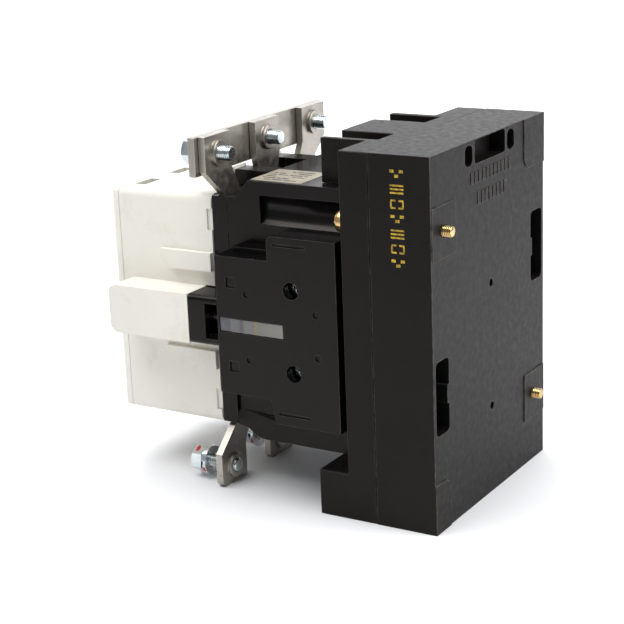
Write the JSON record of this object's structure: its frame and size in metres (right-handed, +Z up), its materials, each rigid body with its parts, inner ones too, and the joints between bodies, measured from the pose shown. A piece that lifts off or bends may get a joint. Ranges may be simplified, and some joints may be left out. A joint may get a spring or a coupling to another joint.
{
  "type": "air-break magnetic contactor",
  "caption": "Upright power contactor with a black base, cream arc cover, side auxiliary contacts and a copper bar shorting its line terminals.",
  "frame": {"origin": "centre of the rear face of the base, in the plane of that face", "axes": "+X across the poles, towards the side with the upper fixing screw; +Y out of the rear face, towards the panel; +Z up, towards the line terminals"},
  "size_m": [0.138, 0.2202, 0.2],
  "materials": {
    "base_plastic": "black moulded phenolic, fine grain, slightly brown in the light",
    "body_plastic": "black moulded plastic with a soft shine on its edges",
    "cover_plastic": "cream moulded plastic, faintly stained",
    "inner_plastic": "natural nylon",
    "tinned_copper": "tin-plated copper, matt, worn at the edges",
    "bare_copper": "bare copper",
    "brass": "plain brass",
    "zinc_steel": "bright zinc-plated steel",
    "chromate_steel": "yellow-chromated steel",
    "core_iron": "stacked silicon-iron laminations",
    "spring_steel": "drawn spring wire",
    "cushion_rubber": "black rubber",
    "marker_strip": "clear grey plastic strip",
    "label_foil": "satin silver label",
    "stamp_paint": "yellow stamping ink",
    "witness_paint": "red witness paint"
  },
  "bodies": {
    "base": {"arc_cover": "cover_plastic", "arc_cover_cap": "cover_plastic", "aux_contact_left_a": "brass", "aux_contact_left_b": "brass", "aux_contact_right_a": "brass", "aux_contact_right_b": "brass", "aux_housing_left": "body_plastic", "aux_housing_right": "body_plastic", "aux_screw_left_a": "zinc_steel", "aux_screw_left_b": "zinc_steel", "aux_screw_right_a": "zinc_steel", "aux_screw_right_b": "zinc_steel", "base_frame": "base_plastic", "base_rear": "base_plastic", "coil_bobbin": "inner_plastic", "coil_terminal_left": "brass", "coil_terminal_right": "brass", "coil_winding": "bare_copper", "contact_base": "body_plastic", "core_cushion": "cushion_rubber", "cover_screw_lower": "zinc_steel", "cover_screw_upper": "zinc_steel", "fixed_core": "core_iron", "line_bolt_1": "zinc_steel", "line_bolt_2": "zinc_steel", "line_bolt_3": "zinc_steel", "line_terminal_1": "tinned_copper", "line_terminal_2": "tinned_copper", "line_terminal_3": "tinned_copper", "link_guide_left": "body_plastic", "link_guide_right": "body_plastic", "load_bolt_1": "zinc_steel", "load_bolt_2": "zinc_steel", "load_bolt_3": "zinc_steel", "load_terminal_1": "tinned_copper", "load_terminal_2": "tinned_copper", "load_terminal_3": "tinned_copper", "main_body": "body_plastic", "mounting_screw_lower": "chromate_steel", "mounting_screw_upper": "chromate_steel", "return_spring_lower": "spring_steel", "return_spring_upper": "spring_steel", "shading_ring_left": "bare_copper", "shading_ring_right": "bare_copper", "shorting_bar": "tinned_copper"},
    "crossbar": {"crossbar": "body_plastic", "armature": "core_iron", "armature_pin": "spring_steel", "contact_spring_1": "spring_steel", "contact_spring_2": "spring_steel", "contact_spring_3": "spring_steel"},
    "bridge_1": {"contact_bridge_1": "bare_copper"},
    "bridge_2": {"contact_bridge_2": "bare_copper"},
    "bridge_3": {"contact_bridge_3": "bare_copper"},
    "aux_link_right": {"aux_slider_right": "inner_plastic", "aux_pin_right": "spring_steel", "aux_bridge_right": "brass"},
    "aux_link_left": {"aux_slider_left": "inner_plastic", "aux_pin_left": "spring_steel", "aux_bridge_left": "brass"}
  },
  "joints": [
    {"name": "crossbar_slide", "type": "slide", "parent": "base", "child": "crossbar", "axis": [0, 1, 0], "range_m": [0, 0.008], "stiffness_N_per_m": 2000, "springref_m": -0.01, "deforming": ["return_spring_upper", "return_spring_lower"]},
    {"name": "bridge_slide_1", "type": "slide", "parent": "crossbar", "child": "bridge_1", "axis": [0, 1, 0], "range_m": [-0.0025, 0], "deforming": ["contact_spring_1"]},
    {"name": "bridge_slide_2", "type": "slide", "parent": "crossbar", "child": "bridge_2", "axis": [0, 1, 0], "range_m": [-0.0025, 0], "deforming": ["contact_spring_2"]},
    {"name": "bridge_slide_3", "type": "slide", "parent": "crossbar", "child": "bridge_3", "axis": [0, 1, 0], "range_m": [-0.0025, 0], "deforming": ["contact_spring_3"]},
    {"name": "aux_slide_right", "type": "slide", "parent": "base", "child": "aux_link_right", "axis": [0, 1, 0], "range_m": [0, 0.008]},
    {"name": "aux_slide_left", "type": "slide", "parent": "base", "child": "aux_link_left", "axis": [0, 1, 0], "range_m": [0, 0.008]}
  ],
  "couplings": [
    {"joint": "bridge_slide_1", "follows": "crossbar_slide", "ratio": -0.3125},
    {"joint": "bridge_slide_2", "follows": "crossbar_slide", "ratio": -0.3125},
    {"joint": "bridge_slide_3", "follows": "crossbar_slide", "ratio": -0.3125},
    {"joint": "aux_slide_right", "follows": "crossbar_slide", "ratio": 1},
    {"joint": "aux_slide_left", "follows": "crossbar_slide", "ratio": 1}
  ]
}
